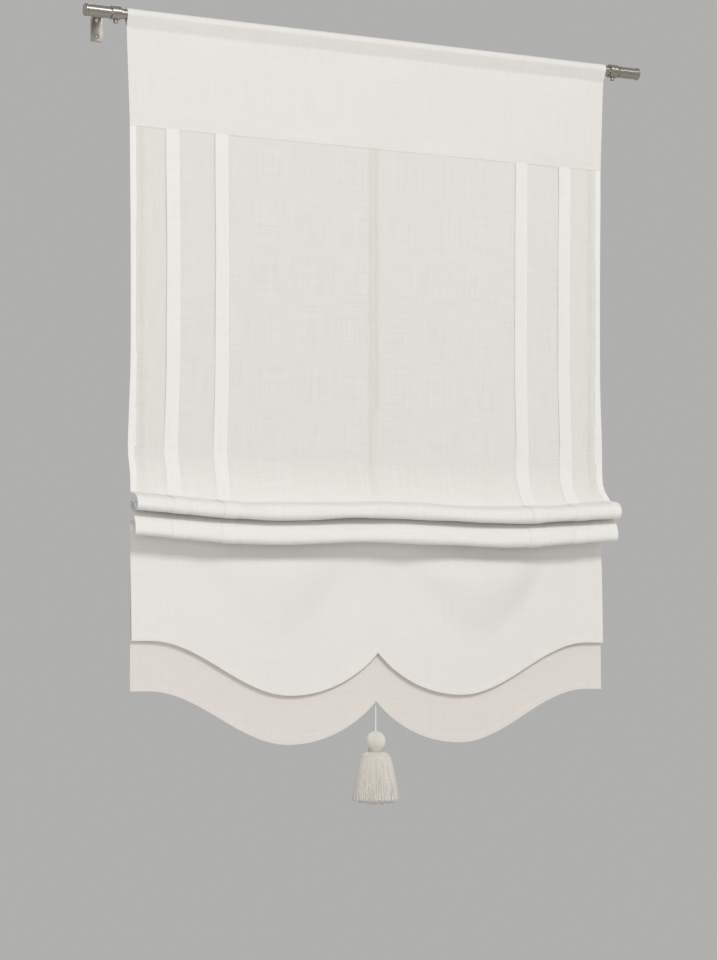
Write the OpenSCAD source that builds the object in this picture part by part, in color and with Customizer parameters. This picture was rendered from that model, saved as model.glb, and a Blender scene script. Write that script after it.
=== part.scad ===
// Soft roman blind with a scalloped double skirt, hung on a curtain rod and drawn up by a tasselled cord.
// X runs along the rod, Y points into the wall and Z points up, in millimetres.
// The origin lies on the wall face (Y = 0), midway between the two brackets and level with the rod.

/* [Rod and brackets] */
// Outside diameter of the curtain rod
rod_d = 16; // [12:0.5:20]
// Wall of the rod tube
rod_wall = 1; // [0.6:0.1:2]
// Distance from the wall to the axis of the rod
standoff = 95; // [80:1:140]
// Bare rod between the cloth and each bracket ring
rod_show = 15; // [5:1:60]
// Width of a bracket ring along the rod
ring_w = 14; // [10:1:20]
// Wall of a bracket ring
ring_wall = 2.4; // [1.8:0.1:4]
// Radial clearance of the rod in the bracket ring
ring_clear = 0.15; // [0.05:0.05:0.4]
// Thickness of the bracket arm, which rises from the ring to the top of the plate
arm_t = 3.5; // [2.5:0.5:3.5]
// Width of a wall plate
plate_w = 18; // [14:1:26]
// Height of a wall plate
plate_h = 40; // [38:1:60]
// Thickness of a wall plate
plate_t = 4; // [3:0.5:6]
// Corner radius of a wall plate
plate_r = 1.5; // [1:0.5:3]
// Diameter of the screw holes in a wall plate
hole_d = 4.5; // [3.5:0.1:5]
// Distance between the two screw holes of a wall plate
hole_spacing = 24; // [20:0.5:25]
// Shank diameter of the clamp screws
clamp_d = 4; // [3:0.5:5]
// Head diameter of the clamp screws
clamp_head_d = 7; // [6:0.5:9]
// Head height of the clamp screws
clamp_head_h = 4; // [2:0.5:6]

/* [End caps] */
// Diameter of an end cap
cap_d = 18; // [17:0.5:24]
// Length of an end cap
cap_l = 41; // [25:1:60]
// Length of the spigot inside the rod
cap_spigot = 14; // [8:1:25]
// Extra radius of the rim at the outer end
cap_rim = 0.8; // [0.4:0.1:2]
// Width of that rim
cap_rim_w = 5; // [3:0.5:8]

/* [Cloth] */
// Finished width of the blind
blind_w = 800; // [600:10:1200]
// Top edge to the seam of the plain header
header_h = 173; // [150:1:250]
// Extra width of the header at the rod, each side
header_flare = 6; // [0:1:8]
// One layer of the header cloth
header_layer = 0.7; // [0.4:0.1:1]
// Clearance of the rod in its pocket
pocket_clear = 0.3; // [0.2:0.1:1]
// Depth of the stitch line of the rod pocket below the rod axis
pocket_stitch = 19; // [16:1:30]
// Length of sheer cloth sewn into the header
seam_lap = 12; // [8:1:13]
// Thickness of the sheer cloth
sheer_t = 0.6; // [0.4:0.1:1]
// Header seam to the point where the sheer cloth turns into the folds
panel_h = 476; // [400:1:700]
// Width of the turned side hems
hem_w = 10; // [6:1:14]
// Extra thickness of a side hem, each side
hem_extra = 0.4; // [0.2:0.1:0.6]
// Width of a vertical tuck
tuck_w = 22; // [12:1:30]
// Thickness of a vertical tuck
tuck_t = 0.8; // [0.4:0.1:1.2]
// Side edge to the middle of the outer tuck
outer_tuck_in = 67; // [50:1:80]
// Side edge to the middle of the inner tuck
inner_tuck_in = 145; // [115:1:200]

/* [Folds] */
// Forward reach of the upper fold
upper_depth = 56; // [52:1:66]
// Forward reach of the lower fold
lower_depth = 47; // [42:1:50]
// Radius of the rounded lips
lip_r = 8; // [6:0.5:8]
// Forward reach of the hanging cloth where the upper fold begins to stand out
hang_reach = 20; // [14:1:24]
// Start of the folds to that place
hang_drop = 64; // [58:1:66]
// Start of the folds to the middle of the upper lip's roll
upper_lip_drop = 85; // [84:1:90]
// Start of the folds to the middle of the lower lip's roll
lower_lip_drop = 122; // [118:1:126]
// Extra width of the lips, each side
lip_flare = 6; // [0:1:10]
// Rise of the lips at the right edge and drop at the left edge
lip_tilt = 4; // [0:1:5]
// Start of the folds to the seam of the skirts
fold_drop = 125; // [118:1:140]
// Sag of the lips at the middle of the blind
centre_sag = 7; // [0:1:12]
// Further sag of the lips halfway between the lifting lines
span_sag = 5; // [0:1:10]

/* [Skirts] */
// Thickness of the skirt cloth
skirt_t = 0.9; // [0.6:0.1:1.2]
// Seam to the outer corner of the upper skirt
skirt_h = 164; // [120:1:260]
// Length by which the lower skirt hangs below the upper one
lower_extra = 75; // [40:1:120]
// Distance between the hems of the two skirts
skirt_gap = 6; // [3:0.5:8]
// Drop of the scallops below the outer corners
scallop_drop = 83; // [50:1:110]
// Drop of the middle point below the outer corners
cusp_drop = 17; // [5:1:40]
// Middle of the blind to the lowest point of a scallop
scallop_x = 145; // [100:1:170]
// Straight stretch of hem at each outer corner
corner_flat = 28; // [10:1:60]
// Forward swell of the left swag of the upper skirt
left_swag = 4; // [0:1:8]
// Forward swell of the right swag of the upper skirt
right_swag = 9; // [0:1:14]

/* [Lifting gear] */
// Width of a ring tape
tape_w = 10; // [8:1:14]
// Thickness of a ring tape
tape_t = 0.6; // [0.4:0.1:1]
// Side edge to the middle of an outer ring tape
tape_in = 20; // [18:1:30]
// Middle of the blind to the middle of the centre ring tape
centre_tape_x = -7; // [-12:0.5:-7]
// Pitch of the rings along a tape
ring_pitch = 150; // [120:1:160]
// Mean radius of a cord ring
loop_r = 4; // [3.5:0.5:6]
// Wire radius of a cord ring
loop_wire = 0.8; // [0.5:0.1:1]
// Gap between a sewn ring and what it is sewn to
sewn_gap = 0.3; // [0.2:0.1:0.5]
// Diameter of the lifting cords and the pull cord
cord_d = 2; // [1.4:0.1:2.2]
// Diameter of the knots under the lowest rings
knot_d = 7; // [6.5:0.5:9]

/* [Cord lock] */
// Middle of the blind to the pull cord
pull_x = 3; // [3:0.5:6]
// Height of the cord lock
lock_h = 28; // [24:1:40]
// Header seam to the underside of the cord lock
lock_up = 14; // [14:1:30]
// Thickness of the two cheeks of the lock
cheek_t = 2.5; // [2:0.1:3]
// Diameter of the lock roller
roller_d = 6; // [5:0.5:8]
// Diameter of the pins of the lock roller
roller_pin_d = 2; // [1.5:0.1:2.5]
// Travel of the roller when the cord is let go
roller_travel = 4.5; // [2:0.5:6]
// Running clearance in the lock
lock_clear = 0.1; // [0.05:0.05:0.3]
// Length of the cord joiner
joiner_h = 16; // [12:1:24]
// Diameter of the cord joiner
joiner_d = 8; // [7.5:0.5:8.5]
// Length of the cord tails between lock and joiner
tail_l = 400; // [380:1:420]

/* [Tassel] */
// Diameter of the ball
ball_d = 31; // [24:1:40]
// Bore of the tassel for the cord
ball_bore = 2.6; // [2.4:0.1:4]
// Diameter of the collar under the ball
collar_d = 25; // [24:1:28]
// Height of the collar
collar_h = 5.5; // [5.5:0.5:9]
// Depth to which the ball sits in the collar
collar_seat = 5; // [3:0.5:5]
// Length of the fringe
fringe_h = 84; // [60:1:120]
// Diameter of the fringe at its lower edge
fringe_d = 75; // [50:1:100]
// Rounded drop of the middle of the fringe below its rim
fringe_belly = 9; // [1:1:10]

/* [Hidden] */
$fn = 64;

// Colours
cloth_white = [0.93, 0.92, 0.89];
sheer_white = [0.91, 0.90, 0.87, 0.8];
steel = [0.62, 0.60, 0.56];
clear_white = [0.95, 0.95, 0.93];
tassel_cream = [0.87, 0.84, 0.79];

// Rod and brackets
half_w = blind_w / 2;
ring_x = half_w + rod_show + ring_w / 2;
ring_bore_r = rod_d / 2 + ring_clear;
ring_r = ring_bore_r + ring_wall;
rod_end_x = ring_x + ring_w / 2;
cap_neck_l = 3;
cap_neck_in = 1.2;
cap_chamfer = 1;
spigot_clear = 0.1;
clamp_gap = 0.05;
clamp_hole_clear = 0.1;
countersink = 1.6;

// Cloth
cloth_y = -standoff;
pocket_r = rod_d / 2 + pocket_clear;
pocket_or = pocket_r + header_layer;
header_t = 2 * header_layer;
slot_clear = 0.05;
pocket_angle = 20;
shoulder = 0.97;
z_top = pocket_or;
z_seam = z_top - header_h;
z_fold = z_seam - panel_h;
z_sew = z_fold - fold_drop;
seam_gap = 0.1;
turn_r = 2;
turn_in = 4;
turn_out = 12;
roll_rise = 8;
spread = 30;
seam_rise = 28;

// Tucks and tapes across the blind
tuck_xs = [-half_w + outer_tuck_in, -half_w + inner_tuck_in, half_w - inner_tuck_in, half_w - outer_tuck_in];
tape_xs = [-half_w + tape_in, centre_tape_x, half_w - tape_in];

// Rings and cords behind the cloth
loop_or = loop_r + loop_wire;
tape_back = cloth_y + sheer_t / 2 + tape_t;
cord_y = tape_back + sewn_gap + loop_or;
stack_ring_drops = [84, 119];
ring_zs = [for (k = [3, 2, 1]) z_fold - stack_ring_drops[0] + k * ring_pitch];
knot_gap = 0.3;
z_knot = z_fold - stack_ring_drops[1] - loop_wire - knot_gap - knot_d / 2;
tab_h = 12;

// Cord lock on the back of the header
header_back = cloth_y + header_t / 2;
z_lock = z_seam + lock_up;
z_guide = z_lock + lock_h + 10;
hop_rise = 6;
run_rise = 10;
strand_pitch = cord_d + 0.2;
strand_xs = [pull_x - strand_pitch, pull_x, pull_x + strand_pitch];
channel_w = 3 * strand_pitch + 0.6;
lock_base_t = cord_y - cord_d / 2 - lock_clear - header_back;
roller_y = cord_y + cord_d / 2 + lock_clear + roller_d / 2;
roller_z = z_lock + 11;
slot_lean = 60;
slot_clear_r = 0.1;
travel_y = roller_travel * cos(slot_lean);
cheek_back = roller_y + travel_y + roller_pin_d / 2 + 2.5;

// Pull cord and tassel
z_joiner = z_lock - tail_l;
cord_top = [3, -89, -566];
cord_low = [3, -89, -1140];
cord_step = 40;
cord_route = concat(
    [cord_top],
    [for (z = [-600 : -cord_step : -1120]) [cord_top[0], cord_top[1], z]],
    [cord_low]
);
cord_in_tassel = 72;
ball_top = cord_low[2] + cord_in_tassel;
z_ball = ball_top - ball_d / 2;
z_fringe = ball_top - ball_d + collar_seat - collar_h;
seat_clear = 0.05;
bore_clear = 0.3;

// Grid counts of the draped sheets
fold_columns = 28;
skirt_columns = 40;
skirt_rows = 10;
fringe_strands = 24;

// Helpers

function bezier(a, b, c, d, t) =
    a * pow(1 - t, 3) + b * 3 * t * pow(1 - t, 2) + c * 3 * t * t * (1 - t) + d * pow(t, 3);

function bezier_points(a, b, c, d, n) = [for (k = [0 : n - 1]) bezier(a, b, c, d, k / n)];

// Points of an arc from angle a to angle b, without its last point
function arc_points(centre, r, a, b, n) =
    [for (k = [0 : n - 1]) let (w = a + (b - a) * k / n) centre + r * [cos(w), sin(w)]];

function ease(t) = let (u = min(1, max(0, t))) u * u * (3 - 2 * u);

function flat_list(rows) = [for (row = rows) for (p = row) p];

// Closed sheet between two grids of points; rows run along +X and points within a row run downwards
module slab(front, back) {
    n = len(front);
    m = len(front[0]);
    shift = n * m;
    faces = concat(
        [for (i = [0 : n - 2]) for (j = [0 : m - 2]) let (a = i * m + j, b = a + m)
            each [[a, b, b + 1], [a, b + 1, a + 1]]],
        [for (i = [0 : n - 2]) for (j = [0 : m - 2]) let (a = shift + i * m + j, b = a + m)
            each [[a, b + 1, b], [a, a + 1, b + 1]]],
        [for (i = [0 : n - 2]) let (a = i * m, b = a + m)
            each [[shift + a, shift + b, b], [shift + a, b, a]]],
        [for (i = [0 : n - 2]) let (a = i * m + m - 1, b = a + m)
            each [[a, b, shift + b], [a, shift + b, shift + a]]],
        [for (j = [0 : m - 2]) each [[shift + j, j, j + 1], [shift + j, j + 1, shift + j + 1]]],
        [for (j = [0 : m - 2]) let (a = (n - 1) * m + j)
            each [[a, shift + a, shift + a + 1], [a, shift + a + 1, a + 1]]]
    );
    polyhedron(concat(flat_list(front), flat_list(back)), faces);
}

// Round bar along X from x0 to x1
module bar_x(x0, x1, r, y, z) {
    translate([x0, y, z]) rotate([0, 90, 0]) cylinder(r = r, h = x1 - x0);
}

// Round bar along Z from z0 up to z1
module bar_z(x, y, z0, z1, r) {
    translate([x, y, z0]) cylinder(r = r, h = z1 - z0);
}

// Profile in the Y-Z plane drawn out along X, equally to both sides
module along_x(length) {
    rotate([90, 0, 90]) linear_extrude(length, center = true) children();
}

module cord_ring(x, z) {
    translate([x, cord_y, z]) rotate_extrude() translate([loop_r, 0]) circle(loop_wire);
}

module ring_row(z) {
    for (x = tape_xs) cord_ring(x, z);
}

// Rod, brackets and caps

module curtain_rod() {
    color(steel) difference() {
        bar_x(-rod_end_x, rod_end_x, rod_d / 2, cloth_y, 0);
        bar_x(-rod_end_x - 1, rod_end_x + 1, rod_d / 2 - rod_wall, cloth_y, 0);
    }
}

// Turned cap: spigot, neck groove, plain barrel and a chamfered rim
module end_cap() {
    spigot_r = rod_d / 2 - rod_wall - spigot_clear;
    barrel_r = cap_d / 2;
    rim_r = barrel_r + cap_rim;
    color(steel) rotate([0, 90, 0]) rotate_extrude() polygon([
        [0, -cap_spigot], [spigot_r - cap_chamfer, -cap_spigot], [spigot_r, cap_chamfer - cap_spigot],
        [spigot_r, 0], [barrel_r - cap_neck_in, 0], [barrel_r - cap_neck_in, cap_neck_l],
        [barrel_r, cap_neck_l], [barrel_r, cap_l - cap_rim_w], [rim_r, cap_l - cap_rim_w + cap_rim],
        [rim_r, cap_l - cap_chamfer], [rim_r - cap_chamfer, cap_l], [0, cap_l],
    ]);
}

module left_end_cap() {
    translate([-rod_end_x, cloth_y, 0]) mirror([1, 0, 0]) end_cap();
}

module right_end_cap() {
    translate([rod_end_x, cloth_y, 0]) end_cap();
}

module plate_outline() {
    square([plate_w - 2 * plate_r, plate_h], center = true);
    square([plate_w, plate_h - 2 * plate_r], center = true);
    for (sx = [-1, 1]) for (sy = [-1, 1])
        translate([sx * (plate_w / 2 - plate_r), sy * (plate_h / 2 - plate_r)]) circle(plate_r);
}

// Side outline of the arm, from the axis of the ring up to the top edge of the plate
module arm_outline() {
    polygon([
        [cloth_y, -arm_t / 2], [-plate_t / 2, plate_h / 2 - arm_t],
        [-plate_t / 2, plate_h / 2], [cloth_y, arm_t / 2],
    ]);
}

// Wall plate, raked arm and closed ring in one casting
module bracket() {
    color(steel) difference() {
        union() {
            rotate([90, 0, 0]) linear_extrude(plate_t) plate_outline();
            translate([-ring_w / 2, 0, 0]) rotate([90, 0, 90]) linear_extrude(ring_w) arm_outline();
            bar_x(-ring_w / 2, ring_w / 2, ring_r, cloth_y, 0);
        }
        bar_x(-ring_w, ring_w, ring_bore_r, cloth_y, 0);
        translate([0, cloth_y, -ring_r - 1]) cylinder(d = clamp_d + 2 * clamp_hole_clear, h = ring_r);
        for (s = [-1, 1]) translate([0, 0, s * hole_spacing / 2]) rotate([90, 0, 0]) {
            translate([0, 0, -1]) cylinder(d = hole_d, h = plate_t + 2);
            translate([0, 0, plate_t - countersink])
                cylinder(d1 = hole_d, d2 = hole_d + 2 * countersink, h = countersink + 0.01);
        }
    }
}

module left_bracket() {
    translate([-ring_x, 0, 0]) bracket();
}

module right_bracket() {
    translate([ring_x, 0, 0]) bracket();
}

// Slotted thumb screw that bears on the rod from below
module clamp_screw() {
    head_top = -ring_r - 0.2;
    slot_w = 1;
    color(steel) translate([0, cloth_y, 0]) difference() {
        union() {
            bar_z(0, 0, head_top - 1, -rod_d / 2 - clamp_gap, clamp_d / 2);
            bar_z(0, 0, head_top - clamp_head_h, head_top, clamp_head_d / 2);
        }
        translate([0, 0, head_top - clamp_head_h]) cube([clamp_head_d + 1, slot_w, 2 * slot_w], center = true);
    }
}

module left_clamp_screw() {
    translate([-ring_x, 0, 0]) clamp_screw();
}

module right_clamp_screw() {
    translate([ring_x, 0, 0]) clamp_screw();
}

// Header and sheer cloth

// Tail of the rod pocket, from shoulders on a circle of radius r down to the given points
module pocket_tail(r, low) {
    c = shoulder * cos(pocket_angle);
    s = shoulder * sin(pocket_angle);
    polygon(concat([[-r * c, -r * s], [0, 0], [r * c, -r * s]], low));
}

// Rod pocket, stitched tail and double band with a slot for the sheer cloth
module header_band() {
    side = header_t / 2;
    top_half_w = half_w + header_flare;
    wide = 2 * top_half_w + 2;
    color(cloth_white) difference() {
        intersection() {
            union() {
                bar_x(-top_half_w, top_half_w, pocket_or, cloth_y, 0);
                translate([0, cloth_y, 0]) along_x(2 * top_half_w) pocket_tail(pocket_or,
                    [[side, -pocket_stitch], [side, z_seam], [-side, z_seam], [-side, -pocket_stitch]]);
            }
            translate([0, cloth_y, 0]) rotate([90, 0, 0]) linear_extrude(4 * pocket_or, center = true) polygon([
                [-half_w, z_seam], [half_w, z_seam], [top_half_w, z_top], [-top_half_w, z_top],
            ]);
        }
        bar_x(-wide / 2, wide / 2, pocket_r, cloth_y, 0);
        translate([0, cloth_y, 0]) along_x(wide) pocket_tail(pocket_r, [[0, header_layer - pocket_stitch]]);
        translate([-wide / 2, cloth_y - sheer_t / 2 - slot_clear, z_seam - 1])
            cube([wide, sheer_t + 2 * slot_clear, seam_lap + 1]);
    }
}

// One width of sheer cloth with turned hems down both sides
module sheer_panel() {
    hem_t = sheer_t + 2 * hem_extra;
    color(sheer_white) union() {
        translate([-half_w, cloth_y - sheer_t / 2, z_fold])
            cube([blind_w, sheer_t, panel_h + seam_lap - seam_gap]);
        for (x = [-half_w, half_w - hem_w])
            translate([x, cloth_y - hem_t / 2, z_fold]) cube([hem_w, hem_t, panel_h]);
    }
}

module tuck(k) {
    color(cloth_white) translate([tuck_xs[k] - tuck_w / 2, cloth_y - sheer_t / 2 - tuck_t, z_fold])
        cube([tuck_w, tuck_t, panel_h]);
}

module left_outer_tuck() { tuck(0); }
module left_inner_tuck() { tuck(1); }
module right_inner_tuck() { tuck(2); }
module right_outer_tuck() { tuck(3); }

// Gathered folds

// Centreline of the folds as [forward reach, drop]: out over the upper lip, back to the ring, out over the lower lip
function fold_line() = let (
    upper_lip = [upper_depth - lip_r, upper_lip_drop],
    lower_lip = [lower_depth - lip_r, lower_lip_drop],
    upper_back = upper_depth - 2 * lip_r,
    lower_back = lower_depth - 2 * lip_r,
    turn = [turn_r, stack_ring_drops[0]],
    hang = [hang_reach, hang_drop]
) concat(
    bezier_points([0, 0], [0, hang_drop / 2], hang - [2 * turn_in, 3 * turn_in], hang, 5),
    bezier_points(hang, hang + [turn_in, 2 * turn_in], [upper_depth, hang_drop], [upper_depth, upper_lip_drop], 5),
    arc_points(upper_lip, lip_r, 0, 180, 6),
    bezier_points([upper_back, upper_lip_drop], [upper_back, upper_lip_drop - roll_rise],
        turn + [turn_out, -turn_r - turn_in], turn - [0, turn_r], 5),
    arc_points(turn, turn_r, 270, 90, 4),
    bezier_points(turn + [0, turn_r], turn + [turn_out, turn_r],
        [lower_depth, turn[1] + spread], [lower_depth, lower_lip_drop], 6),
    arc_points(lower_lip, lip_r, 0, 180, 6),
    bezier_points([lower_back, lower_lip_drop], [lower_back, lower_lip_drop - roll_rise],
        [0, fold_drop - seam_rise], [0, fold_drop], 5),
    [[0, fold_drop]]
);

// Sag of the lips at a place across the blind, u from -1 to 1
function lip_sag(u) = centre_sag * (1 - pow(u, 4)) + span_sag * pow(sin(180 * abs(u)), 2) - lip_tilt * u;

// Rows of points along the folds, offset from the centreline towards the room
function fold_rows(xs, offset) = let (line = fold_line(), last = len(line) - 1) [
    for (x = xs) let (sag = lip_sag(x / half_w)) [
        for (j = [0 : last]) let (
            step = j == 0 || j == last ? [0, 1] : line[j + 1] - line[j - 1],
            along = step / norm(step),
            reach = line[j][0] + offset * along[1],
            drop = line[j][1] - offset * along[0],
            share = ease(line[j][0] / (lower_depth / 2))
        ) [x + lip_flare * share * x / half_w, cloth_y - reach, z_fold - drop - sag * share]
    ]
];

module fold_stack() {
    xs = [for (i = [0 : fold_columns]) -half_w + blind_w * i / fold_columns];
    bite = 0.1;
    color(sheer_white) union() {
        slab(fold_rows(xs, sheer_t / 2), fold_rows(xs, -sheer_t / 2));
        for (x = tuck_xs) let (edges = [x - tuck_w / 2, x + tuck_w / 2])
            slab(fold_rows(edges, sheer_t / 2 + tuck_t), fold_rows(edges, sheer_t / 2 - bite));
    }
}

// Skirts

// Drop of the hem below the outer corners: flat corner, easy S-curve, round scallop and a point in the middle
function hem_drop(x) = let (
    a = abs(x),
    flat_x = half_w - corner_flat,
    rise = scallop_drop - cusp_drop,
    r = (scallop_x * scallop_x + rise * rise) / (2 * rise)
) a >= flat_x ? 0
    : a >= scallop_x ? scallop_drop * (1 - cos(180 * (flat_x - a) / (flat_x - scallop_x))) / 2
    : scallop_drop - r + sqrt(r * r - pow(scallop_x - a, 2));

// Forward swell of a swag that hangs between two lifting lines
function swag(x, z, middle, swell) = let (
    width = half_w * 0.43,
    depth = skirt_h * 0.95 * (1 - pow((x - middle) / width, 2)),
    s = depth > 1 ? (z - z_sew + depth) / depth : 0
) s > 0 && s < 1 ? swell * sin(180 * pow(s, 0.6)) * min(1, depth / 40) : 0;

// Points of a skirt; lean is how far its hem stands off the seam plane, and skin is the offset of this face
function skirt_rows_at(length, lean, skin, swells) = [
    for (i = [0 : skirt_columns]) let (x = -half_w + blind_w * i / skirt_columns) [
        for (j = [0 : skirt_rows]) let (
            z = z_sew - (length + hem_drop(x)) * j / skirt_rows,
            fall = ease((z_sew - z) / skirt_h)
        ) [x, cloth_y + skin + lean * fall - swag(x, z, -half_w * 0.45, swells[0])
            - swag(x, z, half_w * 0.45, swells[1]), z]
    ]
];

module upper_skirt() {
    swells = [left_swag, right_swag];
    color(cloth_white) slab(
        skirt_rows_at(skirt_h, -skirt_gap, -seam_gap - skirt_t, swells),
        skirt_rows_at(skirt_h, -skirt_gap, -seam_gap, swells));
}

module lower_skirt() {
    color(cloth_white) slab(
        skirt_rows_at(skirt_h + lower_extra, 0, seam_gap, [0, 0]),
        skirt_rows_at(skirt_h + lower_extra, 0, seam_gap + skirt_t, [0, 0]));
}

// Ring tapes, rings and lifting cords

module ring_tape(k) {
    color(clear_white) translate([tape_xs[k] - tape_w / 2, cloth_y + sheer_t / 2, z_fold])
        cube([tape_w, tape_t, panel_h]);
}

module left_ring_tape() { ring_tape(0); }
module centre_ring_tape() { ring_tape(1); }
module right_ring_tape() { ring_tape(2); }

module guide_rings() {
    color(clear_white) ring_row(z_guide);
}

module upper_ring_row() { color(clear_white) ring_row(ring_zs[0]); }
module middle_ring_row() { color(clear_white) ring_row(ring_zs[1]); }
module lower_ring_row() { color(clear_white) ring_row(ring_zs[2]); }

// Rings gathered behind the folds, each on its own tab of tape
module stack_rings() {
    color(clear_white) for (drop = stack_ring_drops) {
        ring_row(z_fold - drop);
        for (x = tape_xs)
            translate([x - tape_w / 2, cloth_y + sheer_t / 2, z_fold - drop - tab_h / 2])
                cube([tape_w, tape_t, tab_h]);
    }
}

module lift_cord(k) {
    color(clear_white) bar_z(tape_xs[k], cord_y, z_knot + knot_d / 2, z_guide, cord_d / 2);
}

module left_lift_cord() { lift_cord(0); }
module centre_lift_cord() { lift_cord(1); }
module right_lift_cord() { lift_cord(2); }

module lift_knots() {
    color(clear_white) for (x = tape_xs) translate([x, cord_y, z_knot]) sphere(d = knot_d);
}

// One lifting cord from its guide ring, along the header and down through the lock
module header_cord(from_x, to_x, rise) {
    z_run = z_guide + rise;
    r = cord_d / 2;
    bar_z(from_x, cord_y, z_guide, z_run, r);
    bar_x(min(from_x, to_x), max(from_x, to_x), r, cord_y, z_run);
    bar_z(to_x, cord_y, z_lock, z_run, r);
    for (x = [from_x, to_x]) translate([x, cord_y, z_run]) sphere(r = r);
}

module header_cords() {
    color(clear_white) {
        header_cord(tape_xs[1], strand_xs[0], hop_rise);
        header_cord(tape_xs[0], strand_xs[1], run_rise);
        header_cord(tape_xs[2], strand_xs[2], run_rise);
    }
}

// Cord lock

// Outline in the Y-Z plane of the slot in which a roller pin climbs
module pin_slot() {
    r = roller_pin_d / 2 + slot_clear_r;
    translate([roller_y, roller_z]) rotate(slot_lean) {
        circle(r);
        translate([0, -r]) square([roller_travel, 2 * r]);
        translate([roller_travel, 0]) circle(r);
    }
}

// Open channel with two cheeks, slotted for the roller
module cord_lock() {
    outer_w = channel_w + 2 * cheek_t;
    color(clear_white) difference() {
        translate([pull_x - outer_w / 2, header_back, z_lock])
            cube([outer_w, cheek_back - header_back, lock_h]);
        translate([pull_x - channel_w / 2, header_back + lock_base_t, z_lock - 1])
            cube([channel_w, cheek_back - header_back, lock_h + 2]);
        translate([pull_x, 0, 0]) along_x(outer_w + 2) pin_slot();
    }
}

module lock_roller() {
    length = channel_w - 0.4;
    color("goldenrod") {
        bar_x(pull_x - length / 2, pull_x + length / 2, roller_d / 2, roller_y, roller_z);
        bar_x(pull_x - channel_w / 2 - cheek_t, pull_x + channel_w / 2 + cheek_t,
            roller_pin_d / 2, roller_y, roller_z);
    }
}

module cord_tails() {
    color(clear_white) for (x = strand_xs) bar_z(x, cord_y, z_joiner, z_lock, cord_d / 2);
}

// Acorn in which the three lifting cords are knotted to the pull cord
module cord_joiner() {
    r = joiner_d / 2;
    color(clear_white) translate([pull_x, cord_y, z_joiner - joiner_h]) rotate_extrude() polygon([
        [0, 0], [r * 0.45, 0], [r * 0.8, joiner_h * 0.3], [r, joiner_h * 0.65],
        [r, joiner_h - 1], [r - 0.4, joiner_h], [0, joiner_h],
    ]);
}

// Pull cord and tassel

// Tube with eight sides along a route that runs downwards
module swept_cord(route, r) {
    sides = 8;
    n = len(route);
    points = [for (p = route) for (k = [0 : sides - 1]) p + r * [cos(360 * k / sides), sin(360 * k / sides), 0]];
    walls = [for (i = [0 : n - 2]) for (k = [0 : sides - 1]) let (
        a = i * sides + k,
        b = i * sides + (k + 1) % sides
    ) each [[a, b, b + sides], [a, b + sides, a + sides]]];
    top = [for (k = [sides - 1 : -1 : 0]) k];
    low = [for (k = [0 : sides - 1]) (n - 1) * sides + k];
    polyhedron(points, concat(walls, [top, low]));
}

module pull_cord() {
    color(clear_white) swept_cord(cord_route, cord_d / 2);
}

module tassel_ball() {
    color(tassel_cream) translate([cord_low[0], cord_low[1], z_ball]) difference() {
        sphere(d = ball_d);
        translate([0, 0, -ball_d]) cylinder(d = ball_bore, h = 2 * ball_d);
    }
}

// Bound collar, dished for the ball
module tassel_collar() {
    edge = 1;
    color(cloth_white) difference() {
        translate([cord_low[0], cord_low[1], z_fringe]) rotate_extrude() polygon([
            [ball_bore / 2, 0], [collar_d / 2 - edge, 0], [collar_d / 2, edge], [collar_d / 2, collar_h - edge],
            [collar_d / 2 - edge, collar_h], [ball_bore / 2, collar_h],
        ]);
        translate([cord_low[0], cord_low[1], z_ball]) sphere(d = ball_d + 2 * seat_clear);
    }
}

// Outline of the fringe: share of the length against radius, a round shoulder that flares to the rim
function fringe_radius(t) = let (top = collar_d / 2, shoulder = fringe_d * 0.31)
    t < 0.1 ? top + (shoulder - top) * sin(900 * t)
    : shoulder + (fringe_d / 2 - shoulder) * pow((t - 0.1) / 0.9, 0.75);

module tassel_fringe() {
    rows = 10;
    sides = 2 * fringe_strands;
    points = concat(
        [for (j = [0 : rows]) for (k = [0 : sides - 1]) let (
            t = pow(j / rows, 1.5),
            ridge = 1 + (k % 2) * 0.05 * ease(t / 0.2),
            r = fringe_radius(t) / ridge
        ) [r * cos(360 * k / sides), r * sin(360 * k / sides), -t * (fringe_h - fringe_belly)]],
        [[0, 0, 0], [0, 0, -fringe_h]]
    );
    crown = (rows + 1) * sides;
    faces = concat(
        [for (j = [0 : rows - 1]) for (k = [0 : sides - 1]) let (
            a = j * sides + k,
            b = j * sides + (k + 1) % sides
        ) each [[a, b, b + sides], [a, b + sides, a + sides]]],
        [for (k = [0 : sides - 1]) [crown, (k + 1) % sides, k]],
        [for (k = [0 : sides - 1]) let (a = rows * sides) [crown + 1, a + k, a + (k + 1) % sides]]
    );
    color(tassel_cream) difference() {
        translate([cord_low[0], cord_low[1], z_fringe]) polyhedron(points, faces);
        bar_z(cord_low[0], cord_low[1], cord_low[2] - bore_clear, z_fringe + 1, ball_bore / 2);
    }
}

curtain_rod();
left_end_cap();
right_end_cap();
left_bracket();
right_bracket();
left_clamp_screw();
right_clamp_screw();
header_band();
sheer_panel();
left_outer_tuck();
left_inner_tuck();
right_inner_tuck();
right_outer_tuck();
left_ring_tape();
centre_ring_tape();
right_ring_tape();
guide_rings();
upper_ring_row();
middle_ring_row();
lower_ring_row();
stack_rings();
left_lift_cord();
centre_lift_cord();
right_lift_cord();
lift_knots();
header_cords();
cord_lock();
lock_roller();
cord_tails();
cord_joiner();
fold_stack();
upper_skirt();
lower_skirt();
pull_cord();
tassel_ball();
tassel_collar();
tassel_fringe();
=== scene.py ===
import math

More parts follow.
